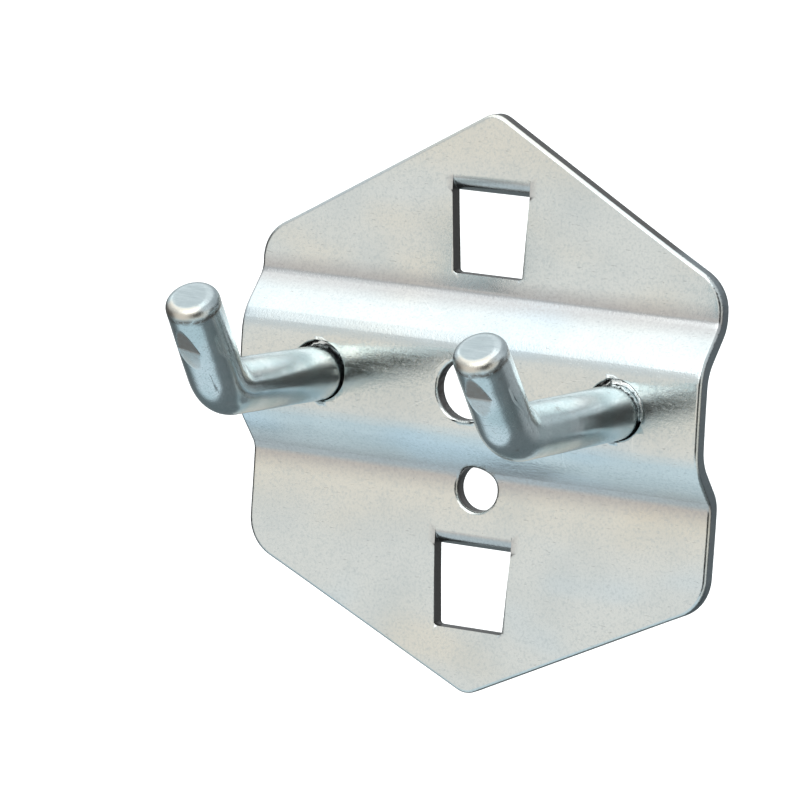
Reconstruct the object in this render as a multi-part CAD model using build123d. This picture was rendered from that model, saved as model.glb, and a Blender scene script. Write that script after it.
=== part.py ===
from build123d import *
import os
from math import atan2, cos, degrees, radians, sin, tan

# Double-prong tool hook for a square-hole perforated panel, in millimetres.
# X is to the right seen from the front, Z is up, and the prongs point to -Y.
# The plane y = 0 touches the panel. The origin is the seat of the upper tab:
# the middle of its underside, which rests on the lower edge of a panel hole.

# Panel that the hook hangs on
panel_pitch = 38.0
panel_gap = 2.4

# Stamped sheet and its outline
sheet = 1.6
plate_width = 55.0
top_point_height = 8.9
bottom_margin = 7.1
top_rise = 15.8
bottom_rise = 13.2
point_radius = 2.4
shoulder_radius = 4.6
die_roll = 0.45

# Band that is pressed forward across the middle
prong_depth = 20.4
band_height = 10.3
step_run = 4.5
step_depth = 3.6
crown_radius = 3.8
valley_radius = 1.9

# Windows and the tabs that are lanced out of them
window_height = 8.7
window_top_width = 9.2
window_bottom_width = 8.2
window_corner = 0.4
tab_bend_radius = 0.4
hook_bend_radius = 0.5
tongue_length = 8.0
lip_height = 5.0
tab_corner = 1.3

# Prongs, bent and welded in by hand, so the two differ a little
prong_edge = 9.7
prong_diameter = 5.9
prong_clearance = 0.3
prong_contact_gap = 0.05
prong_tail = 1.9
prong_reach = 26.4
left_tip_length = 12.7
right_tip_length = 12.0
tip_angle = 53.0
bend_radius = 4.8
left_toe_in = 1.5
right_toe_in = 2.6
left_lift = 1.8
right_lift = 0.0
tip_rounding = 1.1
tail_chamfer = 0.3

# Press mark across the outer side of each tip, measured from the elbow
mark_distance = 7.3
mark_turn = 17.0
mark_depth = 0.45
mark_upper_run = 3.1
mark_lower_run = 2.1

# Other holes
centre_hole_diameter = 6.5
screw_hole_diameter = 4.8
screw_hole_depth = 31.5

# Weld beads behind the band
weld_leg = 2.1
weld_height = 1.6
weld_sink = 0.3
flash_start = -15.0
flash_end = 105.0
flash_recess = 0.1

# Places that follow from the sizes above
bottom_point_depth = panel_pitch + window_height + bottom_margin
band_front = -(sheet + step_depth)
band_back = -step_depth
band_top = -prong_depth + band_height / 2
band_bottom = -prong_depth - band_height / 2
step_angle = degrees(atan2(step_depth, step_run))
back_shift = sheet * tan(radians(step_angle) / 2)
prong_spacing = plate_width - 2 * prong_edge
prong_radius = prong_diameter / 2
prong_hole_radius = prong_radius + prong_clearance
prong_axis_depth = prong_depth + prong_clearance - prong_contact_gap
tab_outer_radius = tab_bend_radius + sheet
hook_outer_radius = hook_bend_radius + sheet
window_taper = (window_top_width - window_bottom_width) / 2 / window_height


def window_half_width(height):
    """Half the window's width at a height above the tab's underside."""
    return window_top_width / 2 + window_taper * height


def sheet_blank():
    """Folded strip: the side profile of the sheet, as wide as the plate."""
    top = top_point_height + sheet
    bottom = -bottom_point_depth - sheet
    front = FilletPolyline(
        (-sheet, top),
        (-sheet, band_top + step_run),
        (band_front, band_top),
        (band_front, band_bottom),
        (-sheet, band_bottom - step_run),
        (-sheet, bottom),
        radius=[valley_radius, crown_radius + sheet, crown_radius + sheet, valley_radius],
    )
    back = FilletPolyline(
        (0, top),
        (0, band_top + step_run - back_shift),
        (band_back, band_top - back_shift),
        (band_back, band_bottom + back_shift),
        (0, band_bottom - step_run + back_shift),
        (0, bottom),
        radius=[valley_radius + sheet, crown_radius, crown_radius, valley_radius + sheet],
    )
    ends = [Line(front @ 0, back @ 0), Line(front @ 1, back @ 1)]
    profile = make_face(Curve() + [front, back] + ends)
    return extrude(Plane.YZ * profile, amount=plate_width, both=True)


def outline():
    """Long hexagon with small points above and below and rounder shoulders."""
    half = plate_width / 2
    points = [
        (0, top_point_height),
        (half, top_point_height - top_rise),
        (half, -bottom_point_depth + bottom_rise),
        (0, -bottom_point_depth),
        (-half, -bottom_point_depth + bottom_rise),
        (-half, top_point_height - top_rise),
    ]
    face = make_face(Polyline(*points, close=True))
    tips = [v for v in face.vertices() if abs(v.X) < sheet]
    face = fillet(tips, point_radius)
    shoulders = [v for v in face.vertices() if abs(v.X) > half - sheet]
    return fillet(shoulders, shoulder_radius)


def window_shape(seat):
    """Tapered window below the tab whose underside is at height seat."""
    low = window_half_width(-window_height)
    high = window_half_width(0)
    points = [
        (-high, seat),
        (high, seat),
        (low, seat - window_height),
        (-low, seat - window_height),
    ]
    face = make_face(Polyline(*points, close=True))
    corners = [v for v in face.vertices() if v.Y < seat - sheet]
    return fillet(corners, window_corner)


def fold_recess(seat):
    """Space in front of the bend of a tab, which the bend leaves open."""
    bend_start = (-sheet, seat + tab_outer_radius)
    bend_end = (tab_bend_radius, seat)
    corner = (-sheet, seat)
    bend = RadiusArc(bend_start, bend_end, -tab_outer_radius)
    side = make_face(Curve() + [bend, Line(bend_end, corner), Line(corner, bend_start)])
    return extrude(Plane.YZ * side, amount=window_half_width(0), both=True)


def through(shape):
    """Punch tool: a shape drawn on the front view, run right through the sheet."""
    return extrude(Plane.XZ * shape, amount=2 * (sheet + step_depth), both=True)


def round_punch(x, z, radius):
    """Round punch at a place of the front view."""
    return through(Pos(x, z) * Circle(radius))


def outer_front_edges(plate):
    """Edges between the front of the sheet and its cut wall."""
    walls = [f for f in plate.faces() if abs(f.normal_at(f.center()).Y) < 0.01]
    fronts = [f for f in plate.faces() if f.normal_at(f.center()).Y < -0.1]
    wall_edges = ShapeList([e for f in walls for e in f.edges()])
    return ShapeList([e for f in fronts for e in f.edges() if e in wall_edges])


def rounded_plate(plate):
    """The punch draws the front edge of the outline down into a soft roll."""
    return fillet(outer_front_edges(plate), die_roll)


def lower_tab():
    """Straight tongue, bent square out of the lower window's top edge."""
    seat = -panel_pitch
    bend_end = tab_bend_radius
    end = tongue_length
    root_z = seat + tab_outer_radius
    side = make_face(
        Curve()
        + [
            Line((-sheet, root_z), (0, root_z)),
            RadiusArc((-sheet, root_z), (bend_end, seat), -tab_outer_radius),
            RadiusArc((0, root_z), (bend_end, seat + sheet), -tab_bend_radius),
            Line((bend_end, seat), (end, seat)),
            Line((end, seat), (end, seat + sheet)),
            Line((end, seat + sheet), (bend_end, seat + sheet)),
        ]
    )
    tongue = extrude(Plane.YZ * side, amount=window_top_width, both=True)
    root = window_half_width(0)
    tip = root - window_taper * (tongue_length + tab_outer_radius)
    plan = make_face(Polyline((-root, -sheet), (root, -sheet), (tip, end), (-tip, end), close=True))
    corners = [v for v in plan.vertices() if v.Y > end - sheet]
    plan = fillet(corners, tab_corner)
    return tongue & extrude(Pos(0, 0, seat - sheet) * plan, amount=tab_outer_radius + 2 * sheet)


def upper_tab():
    """Hook: out of the upper window's top edge, back through the panel and up."""
    first_end = tab_bend_radius
    lip_front = panel_gap
    lip_back = panel_gap + sheet
    second_start = lip_front - hook_bend_radius
    side = make_face(
        Curve()
        + [
            Line((-sheet, tab_outer_radius), (0, tab_outer_radius)),
            RadiusArc((-sheet, tab_outer_radius), (first_end, 0), -tab_outer_radius),
            RadiusArc((0, tab_outer_radius), (first_end, sheet), -tab_bend_radius),
            Line((first_end, 0), (second_start, 0)),
            Line((first_end, sheet), (second_start, sheet)),
            RadiusArc((second_start, 0), (lip_back, hook_outer_radius), -hook_outer_radius),
            RadiusArc((second_start, sheet), (lip_front, hook_outer_radius), -hook_bend_radius),
            Line((lip_back, hook_outer_radius), (lip_back, lip_height)),
            Line((lip_front, hook_outer_radius), (lip_front, lip_height)),
            Line((lip_front, lip_height), (lip_back, lip_height)),
        ]
    )
    hook = extrude(Plane.YZ * side, amount=window_top_width, both=True)
    root = window_half_width(0)
    knee = root - window_taper * (lip_back + tab_outer_radius)
    tip = knee - window_taper * (lip_height - hook_outer_radius)
    plan = make_face(
        Polyline((-root, -sheet), (root, -sheet), (knee, lip_back), (-knee, lip_back), close=True)
    )
    front = make_face(
        Polyline(
            (-root, -sheet),
            (root, -sheet),
            (root, sheet),
            (knee, hook_outer_radius),
            (tip, lip_height),
            (-tip, lip_height),
            (-knee, hook_outer_radius),
            (-root, sheet),
            close=True,
        )
    )
    corners = [v for v in front.vertices() if v.Y > lip_height - sheet]
    front = fillet(corners, tab_corner)
    return hook & extrude(Pos(0, 0, -sheet) * plan, amount=lip_height + 2 * sheet) & through(front)


def back_plate():
    """One stamped sheet: outline, pressed band, holes, windows and both tabs."""
    plate = sheet_blank() & through(outline())
    plate = rounded_plate(plate)
    half_spacing = prong_spacing / 2
    for x in (-half_spacing, half_spacing):
        plate -= round_punch(x, -prong_depth, prong_hole_radius)
    plate -= round_punch(0, -prong_depth, centre_hole_diameter / 2)
    plate -= round_punch(0, -screw_hole_depth, screw_hole_diameter / 2)
    plate += upper_tab() + lower_tab()
    for seat in (0, -panel_pitch):
        plate -= extrude(Plane.XZ * window_shape(seat), amount=2 * sheet, both=True)
        plate -= fold_recess(seat)
    return plate


def press_mark(elbow, direction, outward):
    """V-shaped wedge that the bending tool prints across the tip."""
    centre = elbow + direction * mark_distance + outward * prong_radius
    bottom = centre - outward * mark_depth
    above = centre + direction * mark_upper_run
    below = centre - direction * mark_lower_run
    corners = [bottom, above + (above - bottom), below + (below - bottom)]
    facet = make_face(Polyline(*corners, close=True))
    wedge = extrude(facet, amount=prong_diameter, dir=(1, 0, 0), both=True)
    return wedge.rotate(Axis(elbow, direction), mark_turn)


def prong(side, tip_length, toe_in, lift):
    """Round bar: straight out of the plate, then turned up to hold the tool."""
    tail = Vector(0, band_back + prong_tail, 0)
    elbow = Vector(0, -prong_reach, 0)
    direction = Vector(0, -cos(radians(tip_angle)), sin(radians(tip_angle)))
    outward = Vector(0, -sin(radians(tip_angle)), -cos(radians(tip_angle)))
    end = elbow + direction * tip_length
    path = FilletPolyline(tail, elbow, end, radius=bend_radius)
    bar = sweep(Plane(tail, z_dir=(0, -1, 0)) * Circle(prong_radius), path=path)
    tip_rim = bar.edges().filter_by(GeomType.CIRCLE).sort_by_distance(end)[0]
    bar = fillet(tip_rim, tip_rounding)
    tail_rim = bar.edges().filter_by(GeomType.CIRCLE).sort_by_distance(tail)[0]
    bar = chamfer(tail_rim, tail_chamfer)
    bar -= press_mark(elbow, direction, outward)
    band_middle = (band_front + band_back) / 2
    root = Pos(side * prong_spacing / 2, band_middle, -prong_axis_depth)
    return root * Rot(-lift, 0, side * -toe_in) * Pos(0, -band_middle, 0) * bar


def weld_ring(side):
    """Ring of weld metal round the bar, on the back of the pressed band."""
    outer = prong_radius + weld_leg
    inner = prong_radius - weld_sink
    points = [(0, -weld_sink), (outer, -weld_sink), (outer, 0), (inner, weld_height), (0, weld_height)]
    profile = make_face(Polyline(*points, close=True))
    ring = revolve(Plane.XY * profile, Axis.Y)
    return Pos(side * prong_spacing / 2, band_back, -prong_axis_depth) * ring


def weld_flash(side):
    """Weld metal that has run forward through the gap above the bar."""
    reach = prong_hole_radius + weld_sink
    start = PolarLine((0, 0), reach, flash_start) @ 1
    end = PolarLine((0, 0), reach, flash_end) @ 1
    sector = make_face(
        Curve()
        + [
            Line((0, 0), start),
            CenterArc((0, 0), reach, flash_start, flash_end - flash_start),
            Line(end, (0, 0)),
        ]
    )
    place = Pos(side * prong_spacing / 2, -prong_depth)
    fill = extrude(Plane.XZ * (place * sector), amount=sheet - flash_recess)
    return Pos(0, band_back, 0) * fill


def write(name, shape):
    """One file for each piece."""
    shape.label = name
    export_step(shape, "parts/" + name + ".step")


os.makedirs("parts", exist_ok=True)

plate = back_plate()
left_bar = prong(-1, left_tip_length, left_toe_in, left_lift)
right_bar = prong(1, right_tip_length, right_toe_in, right_lift)

write("back_plate", plate)
write("prong_left", left_bar)
write("prong_right", right_bar)
write("weld_left", weld_ring(-1) - left_bar - plate)
write("weld_right", weld_ring(1) + weld_flash(1) - right_bar - plate)
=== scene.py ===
import math

import bmesh
import bpy
from mathutils import Matrix, Vector, noise


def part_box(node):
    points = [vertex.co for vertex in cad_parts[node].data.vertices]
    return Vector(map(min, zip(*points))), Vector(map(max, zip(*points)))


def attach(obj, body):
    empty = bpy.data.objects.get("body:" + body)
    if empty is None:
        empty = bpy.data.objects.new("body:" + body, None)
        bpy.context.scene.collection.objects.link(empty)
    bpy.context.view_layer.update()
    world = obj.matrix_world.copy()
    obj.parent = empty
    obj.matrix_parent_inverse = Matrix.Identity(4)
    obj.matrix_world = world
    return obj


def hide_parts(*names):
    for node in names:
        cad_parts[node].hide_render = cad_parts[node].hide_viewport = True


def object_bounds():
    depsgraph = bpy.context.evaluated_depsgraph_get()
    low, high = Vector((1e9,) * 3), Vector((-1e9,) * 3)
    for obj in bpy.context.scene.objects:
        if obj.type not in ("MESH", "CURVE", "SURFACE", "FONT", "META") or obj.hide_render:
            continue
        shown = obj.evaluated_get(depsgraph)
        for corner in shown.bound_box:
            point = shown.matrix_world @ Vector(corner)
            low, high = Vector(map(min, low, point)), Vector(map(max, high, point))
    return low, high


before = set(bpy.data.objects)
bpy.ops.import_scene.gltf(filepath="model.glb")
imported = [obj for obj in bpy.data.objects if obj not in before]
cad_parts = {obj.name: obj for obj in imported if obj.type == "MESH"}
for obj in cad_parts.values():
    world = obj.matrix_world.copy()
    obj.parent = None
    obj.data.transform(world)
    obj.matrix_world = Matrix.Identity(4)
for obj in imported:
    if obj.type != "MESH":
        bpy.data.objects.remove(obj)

bl_info = {
    "name": "Panel Tool Hook",
    "version": (1, 0, 0),
    "blender": (4, 5, 0),
    "location": "View3D > Sidebar > Tool Hook",
    "description": "Dresses a zinc-plated double-prong tool hook for a perforated panel",
    "category": "Add Mesh",
}

MM = 0.001
CAD_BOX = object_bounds()
MERGE_DISTANCE = 0.001 * MM

# Places of the stamped sheet and of the bars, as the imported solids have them
SHEET = 1.6 * MM
SEATS = (0, -38.0 * MM)
TAB_START = 0.4 * MM
TAB_HALF_WIDTH = 4.62 * MM
BEND_RADIUS = 2.0 * MM
CREASES = (-30.05 * MM, -10.75 * MM)
BAND = (-25.55 * MM, -15.25 * MM)
BAND_BACK = -3.6 * MM
BAND_MIDDLE = (BAND[0] + BAND[1]) / 2
BAND_HALF = (BAND[1] - BAND[0]) / 2
BAR_RADIUS = 2.95 * MM
TIP_ROUNDING = 1.1 * MM
PRONG_HOLES = (Vector((-17.8 * MM, 0, -20.4 * MM)), Vector((17.8 * MM, 0, -20.4 * MM)))
PRONG_HOLE_RADIUS = 3.25 * MM
MIDDLE_HOLES = (-35.0 * MM, -12.0 * MM)

# Where the plate's edges are sharp, and how far its unevenness reaches
HOLE_ANGLE = math.radians(40)
EDGE_ANGLE = math.radians(50)
FACING_FRONT = -0.6
INNER_ZONE = (21 * MM, 23 * MM)
SIDE_ZONE = (21 * MM, 27 * MM)
SAG_IN_BAND = 4.5 * MM
SAG_ON_FLATS = 12 * MM
FLAT_LUMPS = 13 * MM

# The worked zone of a bar's tip, measured down from its end
TIP_ZONE = 9.0 * MM
TIP_REACH = 1.3 * BAR_RADIUS
ROOT_START = 12 * MM
END_FLAT = (1.75 * MM, 2.1 * MM)
# The side of the tip rounding that gets the painted sheen.
PAINTED_SHEEN_TOWARD = Vector((0.35, -0.94, 0))
MARK_START = 1.5 * MM
MARK_ANGLE = math.radians(8.5)
MARK_TURNS = (math.radians(-28), math.radians(-17))
MARK_FADE = (TIP_ZONE - 3.4 * MM, TIP_ZONE - 0.1 * MM)
BEAD_RIPPLES = 15


# Shader sums

class Sum:
    """A node socket that sums can be written with."""

    def __init__(self, shop, socket):
        self.shop = shop
        self.socket = socket

    def __add__(self, other):
        return self.shop.math("ADD", self, other)

    def __radd__(self, other):
        return self.shop.math("ADD", other, self)

    def __sub__(self, other):
        return self.shop.math("SUBTRACT", self, other)

    def __rsub__(self, other):
        return self.shop.math("SUBTRACT", other, self)

    def __mul__(self, other):
        return self.shop.math("MULTIPLY", self, other)

    def __rmul__(self, other):
        return self.shop.math("MULTIPLY", other, self)


class Shop:
    """Makes the nodes of one material or of the world."""

    def __init__(self, tree):
        self.tree = tree
        self.tree.nodes.clear()

    def node(self, kind, settings=None, **inputs):
        """A node of a type: its settings first, then its sockets' values or links."""
        made = self.tree.nodes.new(kind)
        for name, value in (settings or {}).items():
            setattr(made, name, value)
        for name, value in inputs.items():
            key = int(name[1:]) if name[1:].isdigit() else name.replace("_", " ")
            self.feed(made.inputs[key], value)
        return made

    def feed(self, socket, value):
        """Links a socket to a sum or an output, or gives it a fixed value."""
        if isinstance(value, Sum):
            value = value.socket
        if isinstance(value, bpy.types.NodeSocket):
            self.tree.links.new(value, socket)
        else:
            socket.default_value = value

    def sum(self, made, output=0):
        return Sum(self, made.outputs[output])

    def math(self, operation, *values):
        places = {f"i{index}": value for index, value in enumerate(values)}
        return self.sum(self.node("ShaderNodeMath", {"operation": operation}, **places))

    def clamp(self, value, low, high):
        """Maps low..high of a value to 0..1, softly at both ends."""
        made = self.node(
            "ShaderNodeMapRange",
            {"interpolation_type": "SMOOTHSTEP"},
            Value=value,
            From_Min=low,
            From_Max=high,
        )
        return self.sum(made)

    def mix(self, factor, first, second):
        """A colour between two colours."""
        made = self.node(
            "ShaderNodeMix", {"data_type": "RGBA"}, i0=factor, i6=first, i7=second
        )
        return made.outputs[2]

    def place(self, scale=(1, 1, 1), turn=(0, 0, 0)):
        """Object coordinates, stretched and turned."""
        where = self.node("ShaderNodeTexCoord").outputs["Object"]
        made = self.node("ShaderNodeMapping", Vector=where, Rotation=turn, Scale=scale)
        return made.outputs[0]

    def noise(self, cell, where=None, detail=2.0, roughness=0.5):
        """Noise whose patches are about one cell across, in millimetres."""
        made = self.node(
            "ShaderNodeTexNoise",
            Vector=where or self.place(),
            Scale=1 / (cell * MM),
            Detail=detail,
            Roughness=roughness,
        )
        return self.sum(made)

    def attribute(self, name):
        made = self.node("ShaderNodeAttribute", {"attribute_name": name})
        return self.sum(made, "Fac")

    def dots(self, cell, radius):
        """Small round dots, one to a cell, in millimetres."""
        made = self.node(
            "ShaderNodeTexVoronoi", Vector=self.place(), Scale=1 / (cell * MM), Randomness=1.0
        )
        near = self.sum(made, "Distance")
        return self.clamp(near, 1.3 * radius / cell, 0.6 * radius / cell)

    def dashes(self, cell, turn, low):
        """Short straight marks along one direction, a few cells long, in millimetres."""
        where = self.place(scale=(0.16, 1, 1), turn=(0, math.radians(turn), 0))
        return self.clamp(self.noise(cell, where=where, detail=1.0), low, low + 0.05)

    def scratches(self, cell, width):
        """Thin curved lines in a few patches, as long as a cell, in millimetres."""
        away = self.math("ABSOLUTE", self.noise(cell, detail=1.0) - 0.5)
        line = self.clamp(away, 0.6 * width / cell, 0.2 * width / cell)
        patch = self.noise(cell * 1.7, where=self.place(turn=(0.7, 0.4, 0.2)), detail=1.0)
        return line * self.clamp(patch, 0.65, 0.69)


def colour(values):
    """A colour property as a socket's four numbers."""
    return (values[0], values[1], values[2], 1)


def new_material(name):
    made = bpy.data.materials.new(name)
    made.use_nodes = True
    return made, Shop(made.node_tree)


def finish_material(shop, base, roughness, height, bump_strength):
    """Metal shader with a bump made from a height."""
    bump = shop.node(
        "ShaderNodeBump", Strength=bump_strength, Distance=0.05 * MM, Height=height
    )
    shader = shop.node(
        "ShaderNodeBsdfPrincipled",
        Base_Color=base,
        Metallic=1.0,
        Roughness=roughness,
        Normal=bump.outputs[0],
    )
    shop.node("ShaderNodeOutputMaterial", Surface=shader.outputs[0])


def plate_zinc(look):
    """Bright zinc on stamped sheet: satin grain, straw and blue tints, fine marks."""
    material, shop = new_material("plate_zinc")
    cut = shop.attribute("cut")
    edge = shop.attribute("edge")
    fold = shop.attribute("fold")
    crease = shop.attribute("crease")
    inner = shop.attribute("inner")
    grain = shop.noise(0.30, detail=2.0, roughness=0.6)
    fine = shop.noise(0.14, detail=1.0)
    cloud = shop.noise(7.0, detail=3.0)
    tint = shop.noise(15.0, where=shop.place(scale=(0.6, 1, 1.3)), detail=2.0)
    streaks = shop.noise(
        0.5, where=shop.place(scale=(0.12, 1, 1), turn=(0, math.radians(42), 0)), detail=3.0
    )
    wear = shop.noise(0.8, detail=4.0, roughness=0.7)
    nicks = shop.noise(0.35, where=shop.place(scale=(1, 0.35, 1)), detail=3.0, roughness=0.65)
    dots = shop.dots(1.3, 0.07) * shop.clamp(shop.noise(2.5), 0.48, 0.60)
    dashes = shop.dashes(0.13, 52, 0.72) + shop.dashes(0.16, 118, 0.73)
    scuffs = shop.scratches(12.0, 0.05)
    straw = fold * 0.55 + shop.clamp(tint, 0.50, 0.70) * 0.45
    blue = shop.clamp(tint, 0.46, 0.30) * (1 - fold)
    base = shop.mix(straw, colour(look.base), colour(look.straw_tint))
    base = shop.mix(blue * 0.7, base, colour(look.blue_tint))
    base = shop.mix(shop.clamp(cloud, 0.35, 0.75) * 0.25, base, colour(look.grain))
    base = shop.mix(shop.clamp(grain, 0.42, 0.80) * 0.45, base, colour(look.grain))
    # Painted shade: the folds of the band and the bends of the tabs are darkened towards a
    # brownish colour.
    base = shop.mix(crease * (0.45 + grain * 0.5), base, colour(look.crease))
    base = shop.mix(dots * 0.30 + dashes * 0.30, base, colour(look.speck))
    base = shop.mix(scuffs * 0.22, base, colour(look.scuff))
    base = shop.mix(cut * (0.80 + nicks * 0.2), base, colour(look.cut_wall))
    # Painted shade: the walls of the holes and windows are darkened nearly to black, unlike the
    # outer walls.
    base = shop.mix(inner * cut * 0.9, base, colour(look.nick_and_hole_shade))
    worn = shop.clamp(wear + nicks - 0.5, 0.52, 0.66) * (1 - inner * 0.6)
    base = shop.mix(edge * worn * 0.75, base, colour(look.nick_and_hole_shade))
    roughness = (
        look.roughness + (grain - 0.5) * 0.20 + (streaks - 0.5) * 0.14 + (cloud - 0.5) * 0.10
        + cut * 0.15 - scuffs * 0.1
    )
    height = (
        grain * 0.6 + fine * 0.3 + streaks * 0.5 - dashes * 0.5 - dots * 0.5
        + cut * nicks * 2.0 + edge * worn * 1.5
    )
    finish_material(shop, base, roughness, height, look.bump)
    return material


def prong_zinc(look):
    """Bright zinc on drawn bar: smoother, with marks from the cropping and bending tools, painted
    shade in the press mark and a painted sheen on the tip.
    """
    material, shop = new_material("prong_zinc")
    burr = shop.attribute("burr")
    press = shop.attribute("press")
    sawn = shop.attribute("sawn")
    shoulder_painted_sheen = shop.attribute("shoulder_painted_sheen")
    grain = shop.noise(0.22, detail=2.0, roughness=0.6)
    cloud = shop.noise(3.5, detail=3.0)
    stains = shop.clamp(shop.noise(1.6, detail=5.0, roughness=0.7), 0.60, 0.72)
    lines = shop.noise(
        0.25, where=shop.place(scale=(0.12, 1, 1), turn=(0, math.radians(-25), 0)), detail=3.0
    )
    ragged = shop.noise(0.5, detail=4.0, roughness=0.7)
    dots = shop.dots(0.9, 0.07) * shop.clamp(shop.noise(2.0), 0.50, 0.62)
    dashes = shop.dashes(0.14, 20, 0.68) + shop.dashes(0.12, 80, 0.71)
    base = shop.mix(shop.clamp(cloud, 0.35, 0.65) * 0.8, colour(look.base), colour(look.teal_tint))
    base = shop.mix(shop.clamp(grain, 0.45, 0.8) * 0.45, base, colour(look.grain))
    base = shop.mix(stains * 0.35 + dots * 0.35 + dashes * 0.35, base, colour(look.stain))
    base = shop.mix(sawn * (0.85 + (lines - 0.5) * 0.6), base, colour(look.sawn))
    # Painted reflection: a cream sheen on the side of the tip rounding that faces the front.
    base = shop.mix(shoulder_painted_sheen * (1.0 - stains * 0.8), base, colour(look.shoulder_painted_sheen))
    # Partly a real stain in the press mark and partly painted shade: its upper facet, which faces
    # up more, gets the full darker colour, the lower facet less.
    base = shop.mix(press * (0.6 + ragged * 0.5), base, colour(look.press_stain_and_shade))
    base = shop.mix(burr * shop.clamp(ragged, 0.32, 0.50), base, colour(look.burr))
    roughness = (
        look.roughness + (grain - 0.5) * 0.16 + (cloud - 0.5) * 0.2 + stains * 0.06
        + press * 0.15 + sawn * 0.16 + shoulder_painted_sheen * 0.12 + burr * 0.15
    )
    height = (
        grain * 0.5 + shop.noise(0.9, detail=3.0) * 0.6 + sawn * lines * 1.2 - dots * 0.4
        - dashes * 0.4 - burr * ragged * 2.0 + shoulder_painted_sheen * ragged * 1.2
    )
    finish_material(shop, base, roughness, height, look.bump)
    return material


def weld_metal(look):
    """Zinc-plated weld metal: wet-looking ripples with dark pits."""
    material, shop = new_material("weld_metal")
    lumps = shop.noise(0.7, detail=3.0)
    pits = shop.clamp(shop.noise(0.5, detail=3.0, roughness=0.7), 0.60, 0.70)
    # Painted highlight: the high crests of the bead's lumps are lightened towards a bright colour.
    base = shop.mix(shop.clamp(lumps, 0.35, 0.7), colour(look.base), colour(look.bright))
    base = shop.mix(pits * 0.7, base, colour(look.pit))
    roughness = look.roughness + (lumps - 0.5) * 0.2 + pits * 0.2
    height = lumps * 1.5 - pits
    finish_material(shop, base, roughness, height, look.bump)
    return material


# Settings

def size(name, text, default):
    return bpy.props.FloatProperty(
        name=name, description=text, default=default * MM, unit="LENGTH", precision=5
    )


def shade(name, text, default):
    return bpy.props.FloatVectorProperty(
        name=name, description=text, default=default, subtype="COLOR", size=3, min=0, max=1
    )


def share(name, text, default):
    return bpy.props.FloatProperty(name=name, description=text, default=default, min=0)


class PlateLook(bpy.types.PropertyGroup):
    """Sizes and colours of the stamped plate."""

    hole_roll: size("Hole roll", "Rounding of the punched holes' front edges", 0.38)
    prong_hole_roll: size("Prong hole roll", "Rounding of the prong holes' front edges", 0.14)
    burr_round: size("Burr rounding", "Rounding of the edges behind and on the tabs", 0.07)
    cell: size("Mesh cell", "Width of the plate's mesh cells", 1.0)
    crown: size("Band crown", "How far the band's middle bulges forward", 0.10)
    ripple: size("Ripple", "Unevenness of the flat areas", 0.05)
    sag: size("Crease sag", "How far the creases lie behind the flats", 0.30)
    spread: size("Edge spread", "How far the side edges stand out", 0.10)
    base: shade("Zinc", "Main colour of the plating", (0.68, 0.72, 0.72))
    blue_tint: shade("Blue tint", "Cool tint of the plating", (0.60, 0.71, 0.78))
    straw_tint: shade("Straw tint", "Warm tint of the plating", (0.75, 0.70, 0.59))
    grain: shade("Grain", "Dark side of the fine grain", (0.45, 0.52, 0.55))
    speck: shade("Specks", "Small dark marks", (0.20, 0.18, 0.17))
    scuff: shade("Scuffs", "Fine bright scratches", (0.92, 0.93, 0.92))
    # Colour of the painted shade along the folds and on the bends of the tabs.
    crease: shade("Crease", "Brownish tone along the folds", (0.42, 0.40, 0.40))
    cut_wall: shade("Cut wall", "Sheared walls of the sheet", (0.16, 0.19, 0.21))
    # Dark colour of the nicks, also used as painted shade on the walls of the holes and windows.
    nick_and_hole_shade: shade("Nicks", "Dark ragged marks on the punched edges", (0.07, 0.06, 0.055))
    roughness: share("Roughness", "Roughness of the satin finish", 0.20)
    bump: share("Bump", "Strength of the grain", 0.25)


class ProngLook(bpy.types.PropertyGroup):
    """Sizes and colours of the two bars."""

    cell: size("Mesh cell", "Length of the bars' mesh cells", 0.3)
    burr_width: size("Burr width", "Height of the ragged line round the tip", 0.42)
    burr_height: size("Burr height", "How far the ragged line stands out", 0.06)
    waviness: size("Waviness", "Unevenness of the bars", 0.025)
    taper: size("Taper", "How much thinner the bar is at its tip", 0.07)
    base: shade("Zinc", "Main colour of the plating", (0.66, 0.72, 0.74))
    teal_tint: shade("Teal tint", "Cool tint of the plating", (0.50, 0.60, 0.62))
    grain: shade("Grain", "Dark side of the fine grain", (0.36, 0.42, 0.44))
    stain: shade("Stain", "Brownish marks", (0.26, 0.22, 0.20))
    # Colour of the press mark: a stain, and the painted shade of its upper facet.
    press_stain_and_shade: shade("Press mark", "Dull colour in the press mark", (0.34, 0.29, 0.26))
    sawn: shade("Sawn end", "Dull colour of the cropped end", (0.31, 0.36, 0.38))
    # Colour of the painted cream reflection on the front of the tip rounding.
    shoulder_painted_sheen: shade("Shoulder", "Bright rounding in front of the cropped end", (0.62, 0.59, 0.53))
    burr: shade("Burr", "Dark line below the cropped end", (0.15, 0.12, 0.10))
    roughness: share("Roughness", "Roughness of the finish", 0.20)
    bump: share("Bump", "Strength of the grain", 0.22)


class WeldLook(bpy.types.PropertyGroup):
    """Sizes and colours of the weld beads."""

    cell: size("Mesh cell", "Width of the beads' mesh cells", 0.45)
    ripple: size("Ripple", "Height of the bead's ripples", 0.06)
    lumps: size("Lumps", "Unevenness of the bead", 0.22)
    base: shade("Weld metal", "Main colour of the bead", (0.74, 0.77, 0.77))
    # Colour of the painted highlight on the bead's crests.
    bright: shade("Bright metal", "Bright crests of the bead", (0.94, 0.95, 0.93))
    pit: shade("Pits", "Dark pits in the bead", (0.14, 0.12, 0.11))
    roughness: share("Roughness", "Roughness of the bead", 0.28)
    bump: share("Bump", "Strength of the small ripples", 0.5)


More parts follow.
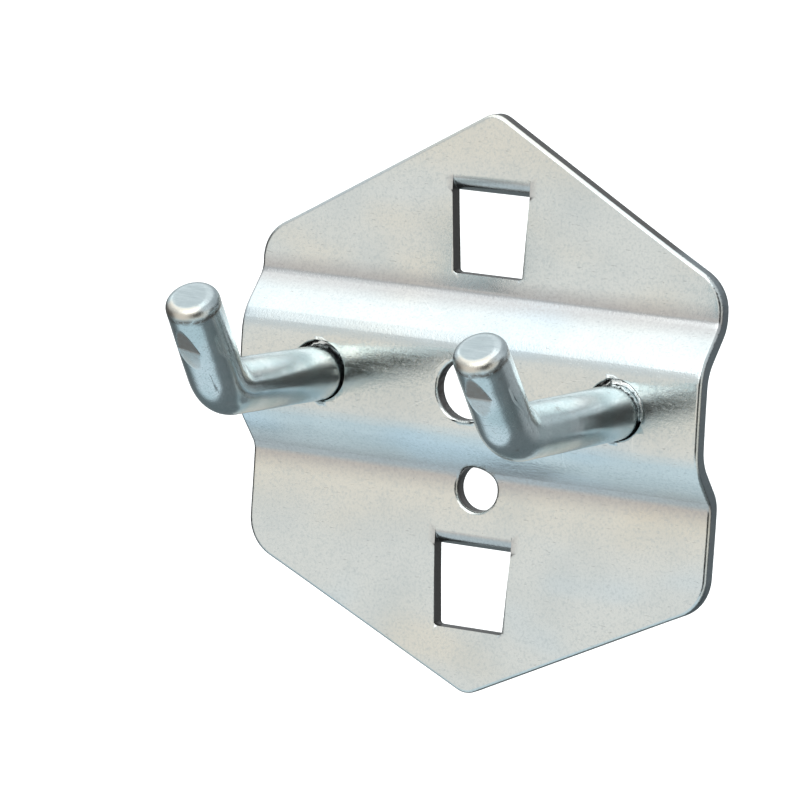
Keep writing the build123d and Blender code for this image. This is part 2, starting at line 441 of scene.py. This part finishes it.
class StageLook(bpy.types.PropertyGroup):
    """Camera, floor and lights."""

    azimuth: bpy.props.FloatProperty(
        name="Azimuth", description="Camera turn about the vertical",
        default=math.radians(28.807), subtype="ANGLE", unit="ROTATION",
    )
    elevation: bpy.props.FloatProperty(
        name="Elevation", description="Camera height above the horizon",
        default=math.radians(8.769), subtype="ANGLE", unit="ROTATION",
    )
    roll: bpy.props.FloatProperty(
        name="Roll", description="Clockwise turn of the picture",
        default=math.radians(2.929), subtype="ANGLE", unit="ROTATION",
    )
    distance: size("Distance", "From the camera to its target", 635.7)
    target: bpy.props.FloatVectorProperty(
        name="Target", description="Point that the camera looks at",
        default=(-10.497 * MM, -0.022 * MM, -23.274 * MM), subtype="TRANSLATION", unit="LENGTH",
    )
    lens: bpy.props.FloatProperty(
        name="Lens", description="Focal length in millimetres on a 36 mm sensor", default=267.56
    )
    floor_drop: size("Floor drop", "Floor below the object's lowest point", 150.0)
    floor_radius: size("Floor radius", "Where the floor starts to sweep up", 6000.0)
    floor: shade("Floor", "Colour of the floor", (0.93, 0.93, 0.93))
    floor_glow: share("Floor glow", "Light that the floor gives by itself", 0.35)
    ground: shade("Ground", "Light from the ground beyond the table", (0.17, 0.20, 0.21))
    table: shade("Table", "Light from the pale table below", (0.74, 0.87, 0.93))
    front: shade("Front", "Light from the front left", (0.96, 0.94, 0.90))
    side: shade("Side", "Light from the right", (0.80, 0.80, 0.76))
    rear: shade("Rear", "Light from behind the plate", (0.43, 0.46, 0.47))
    wall: shade("Wall", "Light from the walls", (0.72, 0.76, 0.78))
    box: shade("Light box", "Colour of the light above", (0.97, 1.0, 1.0))
    box_power: share("Light box power", "Strength of the light above", 1.55)
    front_boost: share("Front boost", "Extra strength of the light above the camera", 0.9)
    dark: share("Dark", "Light from the dark parts of the room", 0.08)


# Mesh helpers

def copied(node):
    """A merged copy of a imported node's mesh."""
    shape = bmesh.new()
    shape.from_mesh(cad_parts[node].data)
    bmesh.ops.remove_doubles(shape, verts=shape.verts, dist=MERGE_DISTANCE)
    return shape


def flat_faces_joined(shape, angle=0.5):
    """Joins the loose triangles of each flat face."""
    bmesh.ops.dissolve_limit(
        shape,
        angle_limit=math.radians(angle),
        verts=shape.verts,
        edges=shape.edges,
    )


def bevelled(shape, edges, radius, segments=2, held=True):
    bmesh.ops.bevel(
        shape,
        geom=edges,
        offset=radius,
        offset_type="OFFSET",
        segments=segments,
        profile=0.5,
        affect="EDGES",
        material=-1,
        clamp_overlap=held,
    )


def sliced(shape, normal, cell, low, high, chosen=None):
    """Cuts a mesh into slices one cell thick, from low to high along a direction."""
    normal = Vector(normal)
    steps = round((high - low) / cell)
    for index in range(1, steps):
        point = normal * (low + (high - low) * index / steps)
        faces = [f for f in shape.faces if chosen is None or chosen(f.calc_center_median())]
        edges = {e for f in faces for e in f.edges}
        verts = {v for f in faces for v in f.verts}
        bmesh.ops.bisect_plane(
            shape,
            geom=list(verts) + list(edges) + faces,
            dist=MERGE_DISTANCE,
            plane_co=point,
            plane_no=normal,
        )


def sliced_all(shape, axis, cell):
    """Cuts a whole mesh into slices across one axis."""
    normal = Vector((0, 0, 0))
    normal[axis] = 1
    places = [v.co[axis] for v in shape.verts]
    sliced(shape, normal, cell, min(places), max(places))


def lumpy(place, cell, seed=0.0):
    """Smooth unevenness between -1 and 1, with lumps one cell across."""
    return noise.noise(place / cell + Vector((seed, 0, 0)))


def face_weighted(vert):
    """A point's normal, led by its largest faces."""
    total = Vector((0, 0, 0))
    for face in vert.link_faces:
        total += face.normal * face.calc_area()
    return total.normalized()


def from_tip(place, tip, axis):
    """How far a point lies below the tip, and its way out from the bar's axis."""
    arm = place - tip
    below = -arm.dot(axis)
    return below, arm + axis * below


def smooth_step(value, low, high):
    """0 at low, 1 at high and soft between them."""
    part = min(max((value - low) / (high - low), 0), 1)
    return part * part * (3 - 2 * part)


def piece(name, shape, material, node, marks=None, creases=()):
    """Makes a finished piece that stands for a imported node."""
    mesh = bpy.data.meshes.new(name)
    for face in shape.faces:
        face.smooth = True
    for edge in shape.edges:
        edge.smooth = edge not in creases
    for mark, values in (marks or {}).items():
        layer = shape.verts.layers.float.new(mark)
        for vert, value in zip(shape.verts, values):
            vert[layer] = value
    shape.to_mesh(mesh)
    shape.free()
    mesh.materials.append(material)
    made = bpy.data.objects.new(name, mesh)
    bpy.context.scene.collection.objects.link(made)
    weighted = made.modifiers.new("weighted", "WEIGHTED_NORMAL")
    weighted.mode = "FACE_AREA"
    weighted.weight = 50
    weighted.keep_sharp = True
    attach(made, "root")
    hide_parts(node)
    return made


# Operators

class HOOK_OT_plate(bpy.types.Operator):
    """Stamped plate with rounded punched edges, soft folds and a slightly crowned band"""

    bl_idname = "hook.plate"
    bl_label = "Plate"

    def execute(self, context):
        look = context.scene.hook_plate
        shape = copied("back_plate")
        flat_faces_joined(shape)
        self.round_edges(shape, look)
        sliced_all(shape, 0, look.cell)
        sliced_all(shape, 2, look.cell)
        shape.normal_update()
        normals = [face_weighted(v) for v in shape.verts]
        cut = [self.cut_share(v.co, n) for v, n in zip(shape.verts, normals)]
        edge = [4 * c * (1 - c) * (n.y < 0.1) for c, n in zip(cut, normals)]
        fold = [self.fold_share(v.co.z) for v in shape.verts]
        # Inside the outline: the hole and window walls here get painted shade, and the edges less
        # wear.
        inner = [1 - smooth_step(abs(v.co.x), *INNER_ZONE) for v in shape.verts]
        # Painted shade along the folds and on the tab bends.
        crease = [self.crease_shade_share(v.co) for v in shape.verts]
        for vert in shape.verts:
            vert.co = self.worked(vert.co, look)
        piece(
            "plate", shape, plate_zinc(look), "back_plate",
            {"cut": cut, "edge": edge, "fold": fold, "crease": crease, "inner": inner},
        )
        return {"FINISHED"}

    def round_edges(self, shape, look):
        """Rounds the front edges of the round holes, and a trace of all other edges."""
        front = [e for e in self.sharp(shape, HOLE_ANGLE)
                 if min(f.normal.y for f in e.link_faces) < FACING_FRONT
                 and max(v.co.y for v in e.verts) < -SHEET / 2]
        tight = [e for e in front if self.on_prong_hole(e)]
        wide = [e for e in front if self.on_middle_hole(e)]
        bevelled(shape, wide, look.hole_roll, 3, held=False)
        tight = [e for e in tight if e.is_valid]
        bevelled(shape, tight, look.prong_hole_roll, 2, held=False)
        bevelled(shape, self.sharp(shape, EDGE_ANGLE), look.burr_round, 1)

    def sharp(self, shape, angle):
        return [e for e in shape.edges if e.is_manifold and e.calc_face_angle() > angle]

    def on_middle_hole(self, edge):
        """Whether an edge belongs to one of the two round holes between the windows."""
        middle = (edge.verts[0].co + edge.verts[1].co) / 2
        return abs(middle.x) < 5 * MM and MIDDLE_HOLES[0] < middle.z < MIDDLE_HOLES[1]

    def on_prong_hole(self, edge):
        """Whether an edge belongs to a hole that a bar stands in."""
        middle = (edge.verts[0].co + edge.verts[1].co) / 2
        middle.y = 0
        return min((middle - hole).length for hole in PRONG_HOLES) < PRONG_HOLE_RADIUS + 0.2 * MM

    def cut_share(self, place, normal):
        """How far a point lies on a sheared wall, not on a face of the sheet."""
        if place.y > TAB_START:
            return smooth_step(abs(normal.x), 0.5, 0.9)
        for seat in SEATS:
            on_bend = abs(place.x) < TAB_HALF_WIDTH and -0.1 * MM < place.z - seat < BEND_RADIUS
            if on_bend and abs(normal.x) < 0.7:
                return 0
        return 1 - smooth_step(abs(normal.y), 0.15, 0.55)

    def crease_shade_share(self, place):
        """Painted shade: a brownish darkening along the folds of the band and on the bends of the
        tabs.
        """
        away = min(abs(place.z - crease) for crease in CREASES)
        on_bend = abs(place.x) < TAB_HALF_WIDTH + 0.2 * MM and any(
            -0.1 * MM < place.z - seat < 1.6 * MM for seat in SEATS
        )
        return max(1 - smooth_step(away, 0.3 * MM, 2.4 * MM), 0.8 * on_bend)

    def fold_share(self, height):
        """Warm tint: strongest beside the folds of the band and on the band itself."""
        low = smooth_step(height, CREASES[0] - 9 * MM, CREASES[0] - 1 * MM)
        low *= 1 - smooth_step(height, CREASES[0] - 1 * MM, CREASES[0] + 1 * MM)
        high = smooth_step(height, CREASES[1] + 10 * MM, CREASES[1] + 16 * MM)
        band = smooth_step(height, BAND[0], BAND[0] + 3 * MM)
        band *= 1 - smooth_step(height, BAND[1] - 3 * MM, BAND[1])
        return max(low, 0.9 * high, 0.6 * band)

    def worked(self, place, look):
        """The small unevenness that the press leaves in the sheet."""
        x, y, z = place
        away = min(abs(z - crease) for crease in CREASES)
        reach = SAG_IN_BAND if CREASES[0] < z < CREASES[1] else SAG_ON_FLATS
        bulge = max(0, 1 - ((z - BAND_MIDDLE) / BAND_HALF) ** 2)
        y += look.sag * (1 - smooth_step(away, 0, reach))
        y -= look.crown * bulge
        y += look.ripple * lumpy(Vector((x, 0, z)), FLAT_LUMPS)
        x += math.copysign(look.spread * smooth_step(abs(x), *SIDE_ZONE), x)
        return Vector((x, y, z))


class HOOK_OT_prongs(bpy.types.Operator):
    """Two round bars with turned-up ends, cropped and marked by their tools"""

    bl_idname = "hook.prongs"
    bl_label = "Prongs"

    def execute(self, context):
        look = context.scene.hook_prong
        material = prong_zinc(look)
        for seed, node in enumerate(("prong_left", "prong_right")):
            shape = copied(node)
            flat_faces_joined(shape)
            end = max(shape.faces, key=lambda f: (f.normal.z > 0.5) * f.calc_area())
            tip = end.calc_center_median()
            axis = end.normal.copy()
            self.slice_bar(shape, tip, axis, look)
            creases = self.press_mark_creases(shape, tip, axis)
            marks = self.marks(shape, tip, axis, look, seed)
            self.turn_press_mark(shape, tip, axis, MARK_TURNS[seed])
            piece(node + "_bar", shape, material, node, marks, creases)
        return {"FINISHED"}

    def press_mark_creases(self, shape, tip, axis):
        """The edges of the press mark, which stay crisp."""
        creases = set()
        for edge in shape.edges:
            middle = (edge.verts[0].co + edge.verts[1].co) / 2
            below, _ = from_tip(middle, tip, axis)
            if MARK_START < below < TIP_ZONE and edge.calc_face_angle(0) > MARK_ANGLE:
                creases.add(edge)
        return creases

    def turn_press_mark(self, shape, tip, axis, turn):
        """Turns the press mark round the straight tip, towards where the tool struck."""
        for vert in shape.verts:
            below, out = from_tip(vert.co, tip, axis)
            if below < TIP_ZONE and out.length < TIP_REACH:
                share = 1 - smooth_step(below, *MARK_FADE)
                vert.co = tip - axis * below + Matrix.Rotation(turn * share, 3, axis) @ out

    def slice_bar(self, shape, tip, axis, look):
        """Cuts the bar into small cells, so that it can be made uneven."""
        def near_tip(place):
            below, out = from_tip(place, tip, axis)
            return below < TIP_ZONE and out.length < TIP_REACH

        def near_root(place):
            return place.y > low + ROOT_START

        height = tip.dot(axis)
        sliced(shape, axis, look.cell, height - TIP_ZONE, height + look.cell / 2, near_tip)
        outward = Vector((1, 0, 0)).cross(axis).normalized()
        for normal in (axis.cross(outward), outward):
            middle = tip.dot(normal)
            sliced(shape, normal, look.cell, middle - BAR_RADIUS, middle + BAR_RADIUS, near_tip)
        low = min(v.co.y for v in shape.verts)
        high = max(v.co.y for v in shape.verts)
        sliced(shape, (0, 1, 0), look.cell * 2, low, high, near_root)

    def marks(self, shape, tip, axis, look, seed):
        """Works the tool marks into the bar and says where they are, with painted shade on the
        press mark's upper facet and a painted sheen on the front of the tip rounding.
        """
        places = [from_tip(v.co, tip, axis) for v in shape.verts]
        sunk = [BAR_RADIUS - out.length for _, out in places]
        in_mark = [MARK_START < below < TIP_ZONE for below, _ in places]
        crease = max(zip(in_mark, sunk, places), key=lambda entry: entry[0] * entry[1])[2][0]
        front = (PAINTED_SHEEN_TOWARD - axis * PAINTED_SHEEN_TOWARD.dot(axis)).normalized()
        burr, press, sawn, shoulder_painted_sheen = [], [], [], []
        for vert, (below, out), depth, marked in zip(shape.verts, places, sunk, in_mark):
            outward = out.normalized()
            ring = outward * 2 * MM
            rag = 0.22 * MM * lumpy(ring, 0.9 * MM, seed * 7)
            rag += 0.06 * MM * lumpy(ring, 0.35 * MM, seed * 5)
            line = abs(below - TIP_ROUNDING - rag - 0.15 * MM) / look.burr_width
            on_tip = below < TIP_ZONE and depth > -0.5 * MM
            burr.append(max(0, 1 - line) if on_tip else 0)
            # Painted shade: the upper facet of the press mark is darkened fully, the lower one
            # less.
            facet_shade = 1 if below < crease + 0.1 * MM else 0.4
            press.append(facet_shade * smooth_step(depth, 0.02 * MM, 0.06 * MM) if marked else 0)
            flat = 1 - smooth_step(out.length, *END_FLAT) if below < 0.5 * MM else 0
            facing = outward.dot(front)
            round_end = 1 - smooth_step(below, 0.6 * MM, 1.2 * MM)
            sawn.append(max(flat, 0.8 * round_end * smooth_step(facing, 0.4, -0.1)))
            # Painted reflection: the front side of the rounding gets the cream sheen.
            shoulder_painted_sheen.append(round_end * smooth_step(facing, 0.35, 0.8) * (1 - flat))
            lift = look.burr_height * burr[-1] * (0.4 + lumpy(ring, 0.6 * MM, seed * 3))
            lift += look.waviness * lumpy(vert.co, 2.2 * MM, seed) * (1 - press[-1])
            thinner = look.taper * (1 - smooth_step(below, 0, TIP_ZONE))
            thinner *= min(1, out.length / BAR_RADIUS)
            vert.co = vert.co + vert.normal * lift - outward * thinner
        return {"burr": burr, "press": press, "sawn": sawn, "shoulder_painted_sheen": shoulder_painted_sheen}


class HOOK_OT_welds(bpy.types.Operator):
    """Rippled weld beads on the back of the band, with metal run forward on the right"""

    bl_idname = "hook.welds"
    bl_label = "Welds"

    def execute(self, context):
        look = context.scene.hook_weld
        material = weld_metal(look)
        for seed, node in enumerate(("weld_left", "weld_right")):
            shape = copied(node)
            flat_faces_joined(shape)
            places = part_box(node)
            centre = (Vector(places[0]) + Vector(places[1])) / 2
            for axis in range(3):
                sliced_all(shape, axis, look.cell)
            shape.normal_update()
            for vert, normal in [(v, v.normal.copy()) for v in shape.verts]:
                vert.co += normal * self.swell(vert.co, vert.co - centre, look, seed)
            piece(node + "_bead", shape, material, node)
        return {"FINISHED"}

    def swell(self, place, arm, look, seed):
        """The bead's ripples, which bend outwards, and its lumps."""
        reach = math.hypot(arm.z, arm.x) / BAR_RADIUS
        bend = 5 * (reach - 1) ** 2 + 1.2 * lumpy(place, 2 * MM, seed)
        ripple = look.ripple * math.sin(BEAD_RIPPLES * math.atan2(arm.z, arm.x) + bend)
        free = smooth_step(place.y, BAND_BACK, BAND_BACK + 0.5 * MM)
        lump = look.lumps * lumpy(place, 1.4 * MM, seed * 3)
        return ripple * free + lump * max(free, 0.5)


class HOOK_OT_stage(bpy.types.Operator):
    """Camera, pale floor and soft studio light"""

    bl_idname = "hook.stage"
    bl_label = "Stage"

    def execute(self, context):
        look = context.scene.hook_stage
        self.camera(look)
        self.floor(look)
        self.world(look)
        context.scene.view_settings.view_transform = "Standard"
        return {"FINISHED"}

    def camera(self, look):
        lens = bpy.data.cameras.new("camera")
        lens.lens = look.lens
        lens.sensor_width = 36
        lens.clip_start = 0.01
        lens.clip_end = 50
        made = bpy.data.objects.new("camera", lens)
        bpy.context.scene.collection.objects.link(made)
        flat = math.cos(look.elevation)
        back = Vector((
            math.sin(look.azimuth) * flat,
            -math.cos(look.azimuth) * flat,
            math.sin(look.elevation),
        ))
        made.rotation_mode = "QUATERNION"
        made.location = Vector(look.target) + back * look.distance
        turn = (-back).to_track_quat("-Z", "Y")
        made.rotation_quaternion = turn @ Matrix.Rotation(look.roll, 3, "Z").to_quaternion()
        bpy.context.scene.camera = made

    def floor(self, look):
        """A wide pale floor that sweeps up far away. Only the camera sees it."""
        shape = bmesh.new()
        bmesh.ops.create_circle(shape, cap_ends=True, segments=96, radius=look.floor_radius)
        rim = [e for e in shape.edges if e.is_boundary]
        raised = bmesh.ops.extrude_edge_only(shape, edges=rim)["geom"]
        top = [v for v in raised if isinstance(v, bmesh.types.BMVert)]
        bmesh.ops.translate(shape, verts=top, vec=(0, 0, look.floor_radius / 2))
        bevelled(shape, rim, look.floor_radius / 4, 8)
        low = CAD_BOX[0].z - look.floor_drop
        bmesh.ops.translate(shape, verts=shape.verts, vec=(0, 0, low))
        bmesh.ops.recalc_face_normals(shape, faces=shape.faces)
        for face in shape.faces:
            face.smooth = True
        mesh = bpy.data.meshes.new("floor")
        shape.to_mesh(mesh)
        shape.free()
        material, shop = new_material("floor")
        shader = shop.node(
            "ShaderNodeBsdfPrincipled",
            Base_Color=colour(look.floor),
            Roughness=0.7,
            Emission_Color=colour(look.floor),
            Emission_Strength=look.floor_glow,
        )
        shop.node("ShaderNodeOutputMaterial", Surface=shader.outputs[0])
        mesh.materials.append(material)
        made = bpy.data.objects.new("floor", mesh)
        bpy.context.scene.collection.objects.link(made)
        made.visible_glossy = False
        made.visible_diffuse = False
        made.visible_shadow = False

    def world(self, look):
        """Soft studio light: boxes above, a pale table, walls, and dark behind the camera."""
        world = bpy.data.worlds.new("studio")
        world.use_nodes = True
        bpy.context.scene.world = world
        shop = Shop(world.node_tree)
        way = shop.node("ShaderNodeTexCoord").outputs["Generated"]
        parts = shop.node("ShaderNodeSeparateXYZ", Vector=way)
        across = shop.sum(parts, "X")
        deep = shop.sum(parts, "Y")
        up = shop.sum(parts, "Z")

        def lobe(toward, low, high):
            """1 near a direction, 0 away from it."""
            made = shop.node(
                "ShaderNodeVectorMath", {"operation": "DOT_PRODUCT"},
                i0=way, i1=Vector(toward).normalized(),
            )
            return shop.clamp(shop.sum(made, "Value"), low, high)

        rear = colour(look.rear)
        light = (look.dark, look.dark, look.dark, 1)
        light = shop.mix(lobe((0, 1, -0.15), 0.45, 0.75) * 0.75, light, rear)
        light = shop.mix(lobe((0.35, 0.93, -0.12), 0.66, 0.90), light, rear)
        light = shop.mix(lobe((0, 0.2, -0.98), 0.25, 0.70), light, colour(look.ground))
        beyond = deep + across * 0.25 + 0.12
        table = lobe((0, -0.5, -0.87), 0.40, 0.82) * shop.clamp(beyond, 0.20, 0.06)
        light = shop.mix(table, light, colour(look.table))
        light = shop.mix(lobe((-0.3, -0.93, -0.05), 0.62, 0.97), light, colour(look.front))
        light = shop.mix(lobe((0.9, -0.4, -0.15), 0.75, 0.95), light, colour(look.side))
        light = shop.mix(shop.clamp(up, 0.10, 0.35), light, colour(look.wall))
        behind = lobe((0.55, -0.83, -0.03), 0.86, 0.965)
        light = shop.mix(behind, light, (look.dark / 2, look.dark / 2, look.dark / 2, 1))
        above = lobe((-0.25, 0, 0.97), 0.68, 0.86)
        before = lobe((-0.05, -0.75, 0.65), 0.86, 0.96)
        box = shop.math("MAXIMUM", above, before)
        light = shop.mix(box, light, colour(look.box))
        strength = 1.0 + box * (look.box_power - 1.0) + before * look.front_boost
        sky = shop.node("ShaderNodeBackground", Color=light, Strength=strength)
        shop.node("ShaderNodeOutputWorld", Surface=sky.outputs[0])


class HOOK_PT_panel(bpy.types.Panel):
    """Lists the pieces of the tool hook and their settings"""

    bl_idname = "HOOK_PT_panel"
    bl_label = "Tool Hook"
    bl_space_type = "VIEW_3D"
    bl_region_type = "UI"
    bl_category = "Tool Hook"

    def draw(self, context):
        for settings, operator in PANEL_ROWS:
            box = self.layout.box()
            box.operator(operator.bl_idname)
            group = getattr(context.scene, settings)
            for name in group.bl_rna.properties.keys():
                if name not in {"rna_type", "name"}:
                    box.prop(group, name)


PANEL_ROWS = [
    ("hook_plate", HOOK_OT_plate),
    ("hook_prong", HOOK_OT_prongs),
    ("hook_weld", HOOK_OT_welds),
    ("hook_stage", HOOK_OT_stage),
]
GROUPS = {
    "hook_plate": PlateLook,
    "hook_prong": ProngLook,
    "hook_weld": WeldLook,
    "hook_stage": StageLook,
}


def register():
    for name, group in GROUPS.items():
        bpy.utils.register_class(group)
        setattr(bpy.types.Scene, name, bpy.props.PointerProperty(type=group))
    for settings, operator in PANEL_ROWS:
        bpy.utils.register_class(operator)
    bpy.utils.register_class(HOOK_PT_panel)


def unregister():
    bpy.utils.unregister_class(HOOK_PT_panel)
    for settings, operator in reversed(PANEL_ROWS):
        bpy.utils.unregister_class(operator)
    for name, group in reversed(GROUPS.items()):
        delattr(bpy.types.Scene, name)
        bpy.utils.unregister_class(group)


def main():
    register()
    bpy.ops.hook.plate()
    bpy.ops.hook.prongs()
    bpy.ops.hook.welds()
    bpy.ops.hook.stage()


if __name__ == "__main__":
    main()
